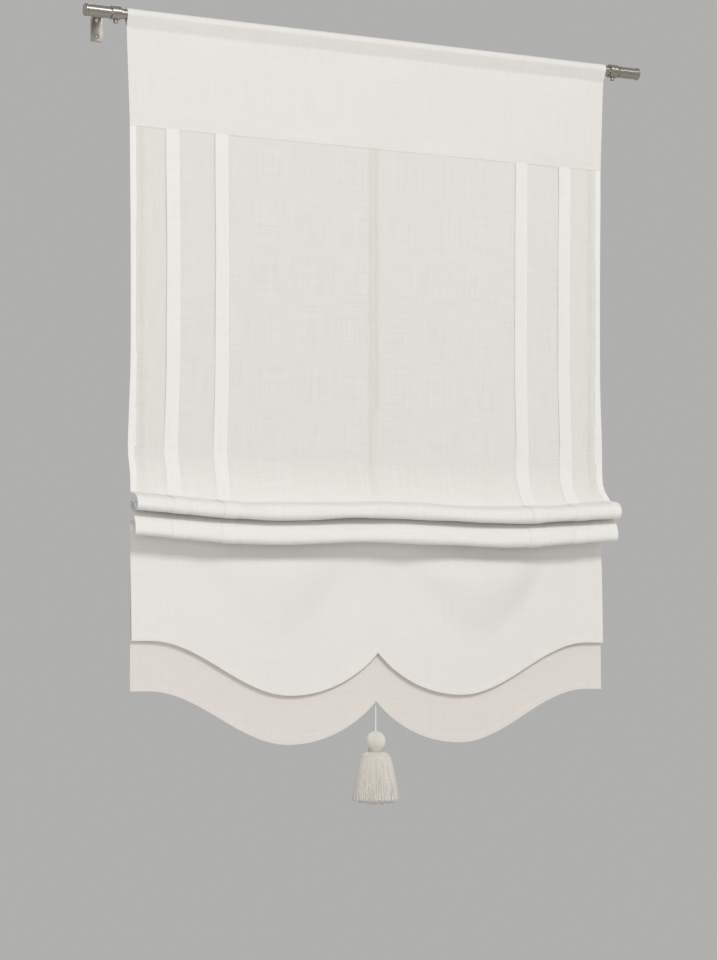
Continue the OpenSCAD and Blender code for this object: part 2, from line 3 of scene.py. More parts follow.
import bpy
import numpy as np
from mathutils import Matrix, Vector


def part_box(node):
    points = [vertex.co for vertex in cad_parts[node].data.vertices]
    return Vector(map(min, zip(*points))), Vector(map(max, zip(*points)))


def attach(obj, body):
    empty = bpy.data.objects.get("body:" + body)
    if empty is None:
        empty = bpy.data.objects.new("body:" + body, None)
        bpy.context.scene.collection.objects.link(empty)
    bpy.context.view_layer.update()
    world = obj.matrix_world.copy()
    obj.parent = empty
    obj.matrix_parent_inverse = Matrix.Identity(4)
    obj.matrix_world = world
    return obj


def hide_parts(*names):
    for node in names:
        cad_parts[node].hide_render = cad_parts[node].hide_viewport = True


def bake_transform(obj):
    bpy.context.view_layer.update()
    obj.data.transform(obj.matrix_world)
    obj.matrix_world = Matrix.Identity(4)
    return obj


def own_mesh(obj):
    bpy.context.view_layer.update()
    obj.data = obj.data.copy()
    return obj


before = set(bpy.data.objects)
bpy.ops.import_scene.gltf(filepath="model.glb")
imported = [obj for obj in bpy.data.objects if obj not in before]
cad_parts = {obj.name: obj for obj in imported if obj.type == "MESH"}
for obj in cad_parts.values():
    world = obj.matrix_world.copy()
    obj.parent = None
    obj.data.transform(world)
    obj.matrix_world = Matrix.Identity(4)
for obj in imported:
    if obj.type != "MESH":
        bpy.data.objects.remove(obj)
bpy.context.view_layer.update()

# Places and sizes read from the frame, in metres
panel_low, panel_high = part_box("sheer_panel")
header_low, header_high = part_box("header_band")
lock_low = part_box("cord_lock")[0]
joiner_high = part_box("cord_joiner")[1]
ball_low, ball_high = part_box("tassel_ball")
collar_low, collar_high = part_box("tassel_collar")
fringe_low, fringe_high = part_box("tassel_fringe")
rod_low, rod_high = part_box("curtain_rod")
HALF_W = panel_high[0]
CLOTH_Y = (panel_low[1] + panel_high[1]) / 2
Z_TOP = header_high[2]
Z_SEAM = header_low[2]
Z_FOLD = panel_low[2]
Z_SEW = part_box("upper_skirt")[1][2]
PANEL_H = Z_SEAM - Z_FOLD
ROD_R = (rod_high[2] - rod_low[2]) / 2
CORD_R = 0.001

# Sizes of the cloth work, as the solids have them; HEADER_LAYER is a little thinner here, and LOWER_OUT and
# SPREAD make the lower fold fuller than its solid
SHEER_T = 0.0006
HEADER_LAYER = 0.0006
HEADER_FLARE = 0.006
POCKET_STITCH = 0.019
TUCK_W = 0.022
TUCK_T = 0.0008
TUCK_NAMES = ["left_outer_tuck", "left_inner_tuck", "right_inner_tuck", "right_outer_tuck"]
TUCK_XS = [sum(corner[0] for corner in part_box(name)) / 2 for name in TUCK_NAMES]
HEM_W = 0.010
HEM_STEP = 0.0004
SHEER_HEM_EXTRA = 0.0007
UPPER_DEPTH = 0.056
LOWER_DEPTH = 0.047
HANG_REACH = 0.020
HANG_DROP = 0.064
LIP_R = 0.008
TURN_R = 0.002
TURN_IN = 0.004
TURN_OUT = 0.012
ROLL_RISE = 0.008
LOWER_OUT = 0.028
SPREAD = 0.020
SEAM_RISE = 0.028
RING_DROP = 0.084
UPPER_LIP_DROP = 0.085
LOWER_LIP_DROP = 0.122
FOLD_DROP = Z_FOLD - Z_SEW
CENTRE_SAG = 0.007
SPAN_SAG = 0.005
LIP_TILT = 0.004
LIP_FLARE = 0.006
SKIRT_T = 0.0009
SKIRT_H = 0.164
LOWER_EXTRA = 0.075
SKIRT_GAP = 0.006
SCALLOP_DROP = 0.083
CUSP_DROP = 0.017
SCALLOP_X = 0.145
CORNER_FLAT = 0.028

# Soft ripples of the cloth: height, width, length and seed
HEADER_BROAD = (0.0012, 0.032, 0.13, 3)
HEADER_FINE = (0.0004, 0.012, 0.08, 5)
POCKET_PUCKER = (0.0005, 0.006, 0.02, 4)
PANEL_BROAD = (0.0011, 0.04, 0.2, 11)
FOLD_BROAD = (0.0012, 0.04, 0.09, 41)
FOLD_FINE = (0.0005, 0.012, 0.05, 42)
SKIRT_BROAD = (0.0015, 0.035, 0.06, 51)
SKIRT_FINE = (0.0006, 0.014, 0.05, 52)


# Camera: level, turned to the right, with the frame shifted up as in the photograph; FRAME_H is the height of
# the photograph, and HORIZON_PX the row of it that lies level with the lens

FRAME_H = 960
FOCAL_PX = 2330
HORIZON_PX = 660.8
YAW = math.radians(23.83)
SENSOR = 36
CAMERA_X = -1.4862
CAMERA_BACK = 3.2995
CAMERA_DROP = 0.9676

camera_data = bpy.data.cameras.new("camera")
camera_data.sensor_width = SENSOR
camera_data.lens = FOCAL_PX / FRAME_H * SENSOR
camera_data.shift_y = (HORIZON_PX - FRAME_H / 2) / FRAME_H
camera = bpy.data.objects.new("camera", camera_data)
camera.location = (CAMERA_X, CLOTH_Y - CAMERA_BACK, Z_TOP - CAMERA_DROP)
camera.rotation_euler = (math.pi / 2, 0, -YAW)
bpy.context.scene.collection.objects.link(camera)
bpy.context.scene.camera = camera


# Mesh helpers

def ease(t):
    t = np.clip(t, 0, 1)
    return t * t * (3 - 2 * t)


def wander(u, v, seed, waves=7):
    """Smooth uneven ripples between about -1 and 1, the same on every run."""
    rng = np.random.default_rng(seed)
    total = 0
    for _ in range(waves):
        angle = rng.uniform(0, 2 * math.pi)
        size = rng.uniform(0.5, 1.6)
        phase = rng.uniform(0, 2 * math.pi)
        total = total + np.sin(size * (u * math.cos(angle) + v * math.sin(angle)) + phase)
    return total / math.sqrt(waves * 2)


def ripples(x, z, height, width, length, seed):
    return height * wander(x / width, z / length, seed)


def run_lengths(points):
    """Arc length along a run of points, from its start to each point."""
    return np.concatenate([[0], np.cumsum(np.linalg.norm(np.diff(points, axis=0), axis=1))])


def ring_corners(rings, sides):
    """First two corners of each face between neighbouring rings of points."""
    i, k = np.meshgrid(np.arange(rings - 1), np.arange(sides), indexing="ij")
    return (i * sides + k).ravel(), (i * sides + (k + 1) % sides).ravel()


def add_mesh(name, verts, faces, uvs=None, sharp=60):
    """A smooth-shaded mesh object; uvs holds one pair in metres for each vertex."""
    mesh = bpy.data.meshes.new(name)
    mesh.from_pydata([tuple(p) for p in verts], [], [tuple(int(i) for i in f) for f in faces])
    mesh.polygons.foreach_set("use_smooth", [True] * len(mesh.polygons))
    mesh.set_sharp_from_angle(angle=math.radians(sharp))
    if uvs is not None:
        layer = mesh.uv_layers.new(name="cloth")
        corner = np.zeros(len(mesh.loops), int)
        mesh.loops.foreach_get("vertex_index", corner)
        layer.data.foreach_set("uv", np.asarray(uvs, float)[corner].ravel())
    mesh.update()
    obj = bpy.data.objects.new(name, mesh)
    bpy.context.scene.collection.objects.link(obj)
    return obj


def grid_normals(p):
    """Unit normals of a grid whose first axis runs along +X and whose second runs down the cloth."""
    n = np.cross(np.gradient(p, axis=1), np.gradient(p, axis=0))
    return n / np.linalg.norm(n, axis=2, keepdims=True)


def grid_lengths(p, axis):
    """Arc length along one axis of a grid, from its start."""
    step = np.linalg.norm(np.diff(p, axis=axis), axis=2)
    zero = np.zeros_like(np.take(step, [0], axis=axis))
    return np.concatenate([zero, np.cumsum(step, axis=axis)], axis=axis)


def slab_faces(n, m):
    """Faces of a closed sheet of n by m points: front grid, back grid and the four edges."""
    i, j = np.meshgrid(np.arange(n - 1), np.arange(m - 1), indexing="ij")
    a = (i * m + j).ravel()
    front = np.stack([a, a + 1, a + m + 1, a + m], 1)
    back = front[:, ::-1] + n * m
    rim = np.concatenate([
        np.arange(n) * m,
        (n - 1) * m + np.arange(1, m),
        np.arange(n - 2, -1, -1) * m + m - 1,
        np.arange(m - 2, 0, -1),
    ])
    nxt = np.roll(rim, -1)
    edge = np.stack([rim, nxt, nxt + n * m, rim + n * m], 1)
    return np.concatenate([front, back, edge])


def add_sheet(name, centre, thickness):
    """A closed sheet of even or varying thickness round a grid of centreline points."""
    n, m = centre.shape[:2]
    half = np.broadcast_to(np.asarray(thickness, float) / 2, (n, m))[..., None]
    normal = grid_normals(centre)
    verts = np.concatenate([(centre + normal * half).reshape(-1, 3), (centre - normal * half).reshape(-1, 3)])
    uv = np.stack([centre[..., 0], -grid_lengths(centre, 1)], 2).reshape(-1, 2)
    return add_mesh(name, verts, slab_faces(n, m), np.concatenate([uv, uv]))


def add_tube(name, path, radius, sides=10, twist=0, lobes=0, lobe_depth=0):
    """A capped tube along a path; lobes wind round it like the strands of a laid cord."""
    path = np.asarray(path, float)
    n = len(path)
    along = np.gradient(path, axis=0)
    along /= np.linalg.norm(along, axis=1, keepdims=True)
    side = np.cross(along, [0.0, 1.0, 0.0])
    side /= np.linalg.norm(side, axis=1, keepdims=True)
    up = np.cross(side, along)
    s = run_lengths(path)
    angle = 2 * math.pi * np.arange(sides) / sides
    r = radius * (1 - lobe_depth * (0.5 - 0.5 * np.cos(lobes * (angle[None, :] - twist * s[:, None]))))
    ring = np.cos(angle)[None, :, None] * side[:, None, :] + np.sin(angle)[None, :, None] * up[:, None, :]
    verts = (path[:, None, :] + r[..., None] * ring).reshape(-1, 3)
    a, b = ring_corners(n, sides)
    faces = [list(f) for f in np.stack([a, b, b + sides, a + sides], 1)]
    faces.append(list(range(sides))[::-1])
    faces.append([(n - 1) * sides + q for q in range(sides)])
    turns, down = np.meshgrid(angle * radius, s)
    return add_mesh(name, verts, faces, np.stack([turns, down], 2).reshape(-1, 2))


def add_stitches(name, runs, length=0.0026, pitch=0.0036, radius=0.00028):
    """Short raised stitches along each run, a list of points on the cloth's face."""
    verts, faces = [], []
    stations = ((-0.5, 0.25), (-0.2, 1.0), (0.2, 1.0), (0.5, 0.25))
    for run in runs:
        run = np.asarray(run, float)
        s = run_lengths(run)
        for start in np.arange(pitch / 2, s[-1] - pitch / 2, pitch):
            mid = np.array([np.interp(start, s, run[:, k]) for k in range(3)])
            ahead = np.array([np.interp(start + length / 2, s, run[:, k]) for k in range(3)])
            along = ahead - mid
            along /= np.linalg.norm(along)
            out = np.array([0.0, -1.0, 0.0])
            side = np.cross(along, out)
            side /= np.linalg.norm(side)
            base = len(verts)
            for t, r in stations:
                for w in range(4):
                    c, q = math.cos(math.pi * w / 2), math.sin(math.pi * w / 2)
                    ray = c * side + q * np.cross(side, along)
                    verts.append(mid + along * (t * length) + radius * r * ray)
            for k in range(len(stations) - 1):
                for w in range(4):
                    a, b = base + 4 * k + w, base + 4 * k + (w + 1) % 4
                    faces.append((a, b, b + 4, a + 4))
            faces.append((base + 3, base + 2, base + 1, base))
            last = base + 4 * (len(stations) - 1)
            faces.append((last, last + 1, last + 2, last + 3))
    return add_mesh(name, verts, faces)


# Materials

def new_material(name):
    mat = bpy.data.materials.new(name)
    mat.use_nodes = True
    tree = mat.node_tree
    return mat, tree, tree.nodes["Principled BSDF"], tree.nodes["Material Output"]


def node(tree, kind, **inputs):
    """A shader node with its sockets set; a socket's name, or i and its number, takes a value or a socket."""
    made = tree.nodes.new(kind)
    for key, value in inputs.items():
        numbered = key[0] == "i" and key[1:].isdigit()
        slot = made.inputs[int(key[1:]) if numbered else key.replace("_", " ")]
        if isinstance(value, bpy.types.NodeSocket):
            tree.links.new(value, slot)
        else:
            slot.default_value = value
    return made


def math_node(tree, operation, a, b=0.0):
    made = tree.nodes.new("ShaderNodeMath")
    made.operation = operation
    for k, value in enumerate((a, b)):
        if isinstance(value, bpy.types.NodeSocket):
            tree.links.new(value, made.inputs[k])
        else:
            made.inputs[k].default_value = value
    return made.outputs[0]


def cloth_coordinates(tree, scale):
    """UV in metres, scaled; x runs across the cloth and y along it."""
    uv = tree.nodes.new("ShaderNodeUVMap")
    uv.uv_map = "cloth"
    mapping = node(tree, "ShaderNodeMapping", Vector=uv.outputs[0], Scale=scale)
    return mapping.outputs[0]


def weave_height(tree, pitch):
    """Plain weave: warp and weft threads of the given pitch."""
    waves = []
    for direction in ("X", "Y"):
        wave = node(tree, "ShaderNodeTexWave", Vector=cloth_coordinates(tree, (1, 1, 1)),
                    Scale=math.pi / 10 / pitch, Distortion=1.2, Detail=2.0, Detail_Scale=2.0)
        wave.bands_direction = direction
        waves.append(wave.outputs["Fac"])
    return math_node(tree, "MULTIPLY", waves[0], waves[1])


def slubs(tree, across, along):
    """Uneven thicker threads, drawn out along one direction of the cloth."""
    noise = node(tree, "ShaderNodeTexNoise", Vector=cloth_coordinates(tree, (across, along, 1)),
                 Scale=1.0, Detail=4.0, Roughness=0.65)
    return noise.outputs["Fac"]


def ramp(tree, factor, low, high, start=0.3, end=0.7):
    made = tree.nodes.new("ShaderNodeValToRGB")
    tree.links.new(factor, made.inputs[0])
    made.color_ramp.elements[0].position = start
    made.color_ramp.elements[0].color = low
    made.color_ramp.elements[1].position = end
    made.color_ramp.elements[1].color = high
    return made.outputs[0]


def bump(tree, height, strength, distance):
    made = node(tree, "ShaderNodeBump", Height=height, Strength=strength, Distance=distance)
    return made.outputs[0]


# Noise cells in a metre of cloth, across it and along it, and the share of thinness left in gathered layers
WEFT_SLUBS = (14, 800)
WARP_SLUBS = (700, 12)
GATHERED = 0.25


def cloth_material(name, low, high, pitch, translucent, open_share=0.0, closes=None):
    """Woven cloth with slubs, a soft sheen, light coming through it and, if sheer, gaps between its threads.

    Where a sheer cloth is gathered it lies in layers: closes gives the lengths between which it grows dense.
    """
    mat, tree, shader, output = new_material(name)
    weft = slubs(tree, *WEFT_SLUBS)
    warp = slubs(tree, *WARP_SLUBS)
    threads = math_node(tree, "MULTIPLY", math_node(tree, "ADD", weft, warp), 0.5)
    colour = ramp(tree, threads, (*low, 1), (*high, 1), 0.34, 0.66)
    tree.links.new(colour, shader.inputs["Base Color"])
    shader.inputs["Roughness"].default_value = 0.85
    shader.inputs["Specular IOR Level"].default_value = 0.2
    shader.inputs["Sheen Weight"].default_value = 0.25
    shader.inputs["Sheen Roughness"].default_value = 0.5
    weave = weave_height(tree, pitch)
    height = math_node(tree, "ADD", math_node(tree, "MULTIPLY", weave, 0.6), threads)
    normal = bump(tree, height, 0.35, 0.0004)
    tree.links.new(normal, shader.inputs["Normal"])
    through = node(tree, "ShaderNodeBsdfTranslucent", Color=colour, Normal=normal)
    thin = 1.0
    if closes:
        place = node(tree, "ShaderNodeSeparateXYZ", Vector=cloth_coordinates(tree, (1, -1, 1)))
        thin = node(tree, "ShaderNodeMapRange", Value=place.outputs["Y"], From_Min=closes[0],
                    From_Max=closes[1], To_Min=1.0, To_Max=GATHERED).outputs[0]
    glow = math_node(tree, "MULTIPLY", thin, translucent)
    mixed = node(tree, "ShaderNodeMixShader", i0=glow, i1=shader.outputs[0], i2=through.outputs[0])
    if open_share:
        gaps = math_node(tree, "MULTIPLY", math_node(tree, "SUBTRACT", 1.0, weave), open_share)
        uneven = math_node(tree, "ADD", gaps, math_node(tree, "MULTIPLY", threads, -0.35 * open_share))
        uneven = math_node(tree, "MULTIPLY", uneven, thin)
        clear = node(tree, "ShaderNodeBsdfTransparent")
        mixed = node(tree, "ShaderNodeMixShader", i0=uneven, i1=mixed.outputs[0], i2=clear.outputs[0])
    tree.links.new(mixed.outputs[0], output.inputs["Surface"])
    return mat


def thread_material(name, low, high, stretch, pitch=0.0006):
    """Silky thread or cord: fine strands along the piece."""
    mat, tree, shader, _ = new_material(name)
    coords = tree.nodes.new("ShaderNodeTexCoord")
    mapping = node(tree, "ShaderNodeMapping", Vector=coords.outputs["Object"], Scale=stretch)
    noise = node(tree, "ShaderNodeTexNoise", Vector=mapping.outputs[0], Scale=1 / pitch, Detail=5.0,
                 Roughness=0.6)
    colour = ramp(tree, noise.outputs["Fac"], (*low, 1), (*high, 1), 0.35, 0.65)
    tree.links.new(colour, shader.inputs["Base Color"])
    shader.inputs["Roughness"].default_value = 0.62
    shader.inputs["Sheen Weight"].default_value = 0.35
    shader.inputs["Sheen Roughness"].default_value = 0.4
    tree.links.new(bump(tree, noise.outputs["Fac"], 0.5, 0.0003), shader.inputs["Normal"])
    return mat


def metal_material(name, low, high, rough_low, rough_high, stretch):
    """Metal brushed along one direction."""
    mat, tree, shader, _ = new_material(name)
    coords = tree.nodes.new("ShaderNodeTexCoord")
    mapping = node(tree, "ShaderNodeMapping", Vector=coords.outputs["Object"], Scale=stretch)
    lines = node(tree, "ShaderNodeTexNoise", Vector=mapping.outputs[0], Scale=1.0, Detail=6.0, Roughness=0.7)
    broad = node(tree, "ShaderNodeTexNoise", Vector=coords.outputs["Object"], Scale=35.0, Detail=3.0)
    tree.links.new(ramp(tree, lines.outputs["Fac"], (*low, 1), (*high, 1)), shader.inputs["Base Color"])
    shader.inputs["Metallic"].default_value = 1.0
    rough = node(tree, "ShaderNodeMapRange", Value=broad.outputs["Fac"], To_Min=rough_low, To_Max=rough_high)
    tree.links.new(rough.outputs[0], shader.inputs["Roughness"])
    tree.links.new(bump(tree, lines.outputs["Fac"], 0.25, 0.0002), shader.inputs["Normal"])
    return mat


def plastic_material(name, colour, roughness):
    """Moulded plastic with a faint mottle."""
    mat, tree, shader, _ = new_material(name)
    coords = tree.nodes.new("ShaderNodeTexCoord")
    mottle = node(tree, "ShaderNodeTexNoise", Vector=coords.outputs["Object"], Scale=900.0, Detail=3.0)
    dim = tuple(0.93 * c for c in colour)
    tree.links.new(ramp(tree, mottle.outputs["Fac"], (*dim, 1), (*colour, 1)), shader.inputs["Base Color"])
    rough = node(tree, "ShaderNodeMapRange", Value=mottle.outputs["Fac"], To_Min=roughness,
                 To_Max=roughness + 0.12)
    tree.links.new(rough.outputs[0], shader.inputs["Roughness"])
    tree.links.new(bump(tree, mottle.outputs["Fac"], 0.08, 0.0002), shader.inputs["Normal"])
    return mat


WEAVE_PITCH = 0.0008
TAPE_PITCH = 0.0007

header_linen = cloth_material("header_linen", (0.81, 0.79, 0.755), (0.88, 0.865, 0.835), WEAVE_PITCH, 0.12)
VOILE = ((0.86, 0.842, 0.803), (0.95, 0.936, 0.908), WEAVE_PITCH, 0.42, 0.45)
sheer_voile = cloth_material("sheer_voile", *VOILE)
fold_voile = cloth_material("fold_voile", *VOILE, closes=(0.01, 0.09))
tuck_linen = cloth_material("tuck_linen", (0.87, 0.86, 0.835), (0.94, 0.93, 0.91), WEAVE_PITCH, 0.15)
skirt_linen = cloth_material("skirt_linen", (0.85, 0.836, 0.80), (0.91, 0.896, 0.86), WEAVE_PITCH, 0.15)
lining_linen = cloth_material("lining_linen", (0.83, 0.79, 0.755), (0.89, 0.855, 0.82), WEAVE_PITCH, 0.25)
tape_weave = cloth_material("tape_weave", (0.92, 0.92, 0.90), (0.97, 0.97, 0.96), TAPE_PITCH, 0.65, 0.42)
sewing_thread = thread_material("sewing_thread", (0.80, 0.785, 0.75), (0.90, 0.885, 0.85), (1, 1, 1))
cord_thread = thread_material("cord_thread", (0.76, 0.74, 0.70), (0.92, 0.905, 0.87), (1, 1, 0.4))
# The tassel's fringe, ball and collar silk is darker than the cord: painted shade, standing in for the shade
# the tassel hangs in
tassel_silk_painted_shade = thread_material("tassel_silk_painted_shade", (0.58, 0.54, 0.49), (0.75, 0.71, 0.66), (1, 1, 0.05))
ball_silk_painted_shade = thread_material("ball_silk_painted_shade", (0.62, 0.595, 0.54), (0.78, 0.755, 0.70), (1, 1, 0.1))
nickel = metal_material("brushed_nickel", (0.33, 0.305, 0.265), (0.54, 0.51, 0.46), 0.18, 0.30,
                        stretch=(60, 2500, 2500))
roller_brass = metal_material("roller_brass", (0.62, 0.45, 0.18), (0.78, 0.60, 0.28), 0.25, 0.4,
                              stretch=(2500, 300, 300))
ring_plastic = plastic_material("ring_plastic", (0.86, 0.86, 0.84), 0.28)


def paint(obj, mat):
    obj.data.materials.clear()
    obj.data.materials.append(mat)


CAD_FINISH = {
    nickel: ["curtain_rod", "left_end_cap", "right_end_cap", "left_bracket", "right_bracket",
             "left_clamp_screw", "right_clamp_screw"],
    ring_plastic: ["guide_rings", "upper_ring_row", "middle_ring_row", "lower_ring_row", "stack_rings",
                   "cord_lock", "cord_joiner"],
    roller_brass: ["lock_roller"],
    cord_thread: ["header_cords", "lift_knots"],
}
for mat, names in CAD_FINISH.items():
    for name in names:
        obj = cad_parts[name]
        for k in range(len(obj.data.materials)):
            obj.data.materials[k] = mat


# Cords

LAY_LENGTH = 0.009
LAY = dict(sides=12, twist=2 * math.pi / LAY_LENGTH, lobes=3, lobe_depth=0.22)
ROUTE_STEP = 0.0015


def straight_route(x, y, z0, z1):
    count = max(3, round(abs(z0 - z1) / ROUTE_STEP))
    return [(x, y, z) for z in np.linspace(z0, z1, count)]


PULL_X, CORD_Y = 0.003, -0.089
PULL_ROUTE = [(PULL_X, CORD_Y, z / 1000) for z in [-566] + list(range(-600, -1121, -40)) + [-1140]]


def make_pull_cord():
    route = straight_route(PULL_X, CORD_Y, PULL_ROUTE[0][2], PULL_ROUTE[-1][2])
    cord = add_tube("pull_cord_laid", route, CORD_R, **LAY)
    paint(cord, cord_thread)
    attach(cord, "pull")
    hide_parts("pull_cord")
    return cord


STRAND_PITCH = 0.0022


def make_tails():
    for k, side in enumerate(("left", "middle", "right")):
        x = PULL_X + (k - 1) * STRAND_PITCH
        route = straight_route(x, CORD_Y, lock_low[2], joiner_high[2])
        tail = add_tube(f"cord_tail_{side}", route, CORD_R, **LAY)
        paint(tail, cord_thread)
        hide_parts("cord_tails")
        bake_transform(tail)


def make_lift_cords():
    for name in ("left_lift_cord", "centre_lift_cord", "right_lift_cord"):
        low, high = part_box(name)
        x = (low[0] + high[0]) / 2
        cord = add_tube(name + "_laid", straight_route(x, CORD_Y, high[2], low[2]), CORD_R, **LAY)
        paint(cord, cord_thread)
        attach(cord, "rail")
        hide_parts(name)
        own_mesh(cord)


pull_cord = make_pull_cord()
make_tails()
make_lift_cords()


# Header: one strip of cloth taken over the rod and stitched below it

HEADER_HEM = 0.012
HEADER_HEM_EXTRA = 0.0003
HEADER_LAYER_Y = 0.00042
WRAP_GAP = 0.00065
HEADER_ROWS = 44
HEADER_COLUMNS = 190
STITCH_PROUD = 0.0003
HEADER_HELD_TOP = 0.03
HEADER_HELD_LOW = 0.02
PUCKER_REACH = 0.012
PUCKER_BELOW = 0.006


def header_line():
    """Path of the header cloth as [y, z]: up the front, round the rod and down the back."""
    wrap_r = ROD_R + WRAP_GAP
    shoulder = math.radians(20)
    turn = math.pi + shoulder - np.linspace(0, math.pi + 2 * shoulder, 40)
    over = wrap_r * np.stack([np.cos(turn), np.sin(turn)], 1)
    down = np.linspace(0, 1, HEADER_ROWS)
    front = np.stack([np.full(HEADER_ROWS, -HEADER_LAYER_Y), Z_SEAM + (-POCKET_STITCH - Z_SEAM) * down], 1)
    back = front[::-1] * [-1, 1]
    tail = np.linspace(0, 1, 14)[1:-1, None]
    return np.concatenate([front, front[-1] + tail * (over[0] - front[-1]), over,
                           over[-1] + tail * (back[0] - over[-1]), back])


def make_header():
    line = header_line()
    edge = HALF_W - HEADER_HEM
    xs = np.unique(np.concatenate([
        np.linspace(-HALF_W, HALF_W, HEADER_COLUMNS),
        [-edge - HEM_STEP, -edge, edge, edge + HEM_STEP],
    ]))
    x, k = np.meshgrid(xs, np.arange(len(line)), indexing="ij")
    y, z = line[k, 0], line[k, 1]
    s = run_lengths(line)[k]
    hang = ease((-POCKET_STITCH - z) / HEADER_HELD_TOP) * ease((z - Z_SEAM) / HEADER_HELD_LOW)
    near_stitch = np.exp(-((z + POCKET_STITCH) / PUCKER_REACH) ** 2) * (z < -PUCKER_BELOW)
    outward = np.where(k < len(line) / 2, -1.0, 1.0)
    y = y + (ripples(x, z, *HEADER_BROAD) + ripples(x, z, *HEADER_FINE)) * hang
    y = y + outward * np.abs(ripples(x, s, *POCKET_PUCKER)) * near_stitch
    wide = x * (1 + HEADER_FLARE / HALF_W * (z - Z_SEAM) / (Z_TOP - Z_SEAM))
    centre = np.stack([wide, CLOTH_Y + y, z], 2)[:, ::-1]
    hem = np.abs(x[:, ::-1]) > edge
    header = add_sheet("header_cloth", centre, HEADER_LAYER + HEADER_HEM_EXTRA * hem)
    paint(header, header_linen)
    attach(header, "rail")
    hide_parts("header_band")


make_header()


def level_run(z, y):
    return [(x, y, z) for x in np.linspace(-HALF_W, HALF_W, 200)]


SEAM_STITCH_UP = 0.004
header_face = CLOTH_Y - HEADER_LAYER_Y - HEADER_LAYER / 2
header_stitches = add_stitches("header_stitching", [
    level_run(-POCKET_STITCH, header_face - STITCH_PROUD),
    level_run(Z_SEAM + SEAM_STITCH_UP, header_face),
    level_run(-POCKET_STITCH, 2 * CLOTH_Y - header_face + STITCH_PROUD),
    level_run(Z_SEAM + SEAM_STITCH_UP, 2 * CLOTH_Y - header_face),
])
paint(header_stitches, sewing_thread)
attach(header_stitches, "rail")


# Sheer panel with its hems, tucks and ring tapes, each with a mesh of its own on the rail; on the real blind
# all of it shortens as the blind is drawn up

def gather(obj):
    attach(obj, "rail")
    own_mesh(obj)


PANEL_HELD = 0.06


def panel_ripple(x, z):
    """How far the hanging sheer stands off its plane, towards the wall."""
    held = ease((Z_SEAM - z) / PANEL_HELD) * ease((z - Z_FOLD) / PANEL_HELD)
    return ripples(x, z, *PANEL_BROAD) * held


PANEL_BOW = 0.0015
PANEL_FLARE = 0.003
PANEL_INSIDE = 0.003
FLARE_FROM = 0.7
PANEL_COLUMNS = 200
PANEL_ROWS = 140


def panel_x(x, z):
    """Places across the sheer, drawn in a little halfway down and spread at the folds."""
    t = np.clip((Z_SEAM - z) / PANEL_H, 0, 1)
    flare = PANEL_FLARE * ease((t - FLARE_FROM) / (1 - FLARE_FROM))
    return x * (1 + (flare - PANEL_BOW * np.sin(math.pi * t)) / HALF_W)


def make_panel():
    xs = np.unique(np.concatenate([
        np.linspace(-HALF_W, HALF_W, PANEL_COLUMNS),
        [s * (HALF_W - HEM_W + d) for s in (-1, 1) for d in (-HEM_STEP, HEM_STEP)],
    ]))
    zs = np.linspace(Z_SEAM + PANEL_INSIDE, Z_FOLD, PANEL_ROWS)
    x, z = np.meshgrid(xs, zs, indexing="ij")
    centre = np.stack([panel_x(x, z), CLOTH_Y + panel_ripple(x, z), z], 2)
    hem = np.abs(x) > HALF_W - HEM_W
    panel = add_sheet("sheer_cloth", centre, SHEER_T + SHEER_HEM_EXTRA * (hem & (z < Z_SEAM)))
    paint(panel, sheer_voile)
    panel.data.materials.append(tuck_linen)
    mid = np.array([p.center[0] for p in panel.data.polygons])
    panel.data.polygons.foreach_set("material_index", (np.abs(mid) > HALF_W - HEM_W).astype(int))
    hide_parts("sheer_panel")
    gather(panel)


make_panel()

TUCK_LIFT = 0.0020
FOLD_TUCK_LIFT = 0.0001
TUCK_GAP = 0.0002
TUCK_CURL = 1.6
TUCK_SETTLE = 0.05
TUCK_WAVER = 0.0006
TUCK_WAVER_LENGTH = 0.05
TUCK_SWING = 0.75
TUCK_SWING_VARIES = 0.35
TUCK_SWING_LENGTH = 0.045
TUCK_ROWS = 160
TUCK_STITCH_IN = 0.0022
HEM_STITCH_IN = 0.0016


def tuck_section(across, seed_shift, z):
    """Distance of a tuck's middle from the sheer, sewn at its right edge and standing off at its left."""
    free = ease((z - Z_FOLD) / TUCK_SETTLE)
    uneven = wander(z / TUCK_SWING_LENGTH, np.full_like(z, seed_shift), 20)
    swing = (TUCK_SWING + TUCK_SWING_VARIES * uneven) * free
    lift = (FOLD_TUCK_LIFT + TUCK_LIFT * swing) * (1 - across) ** TUCK_CURL
    return SHEER_T / 2 + TUCK_T / 2 + TUCK_GAP + lift


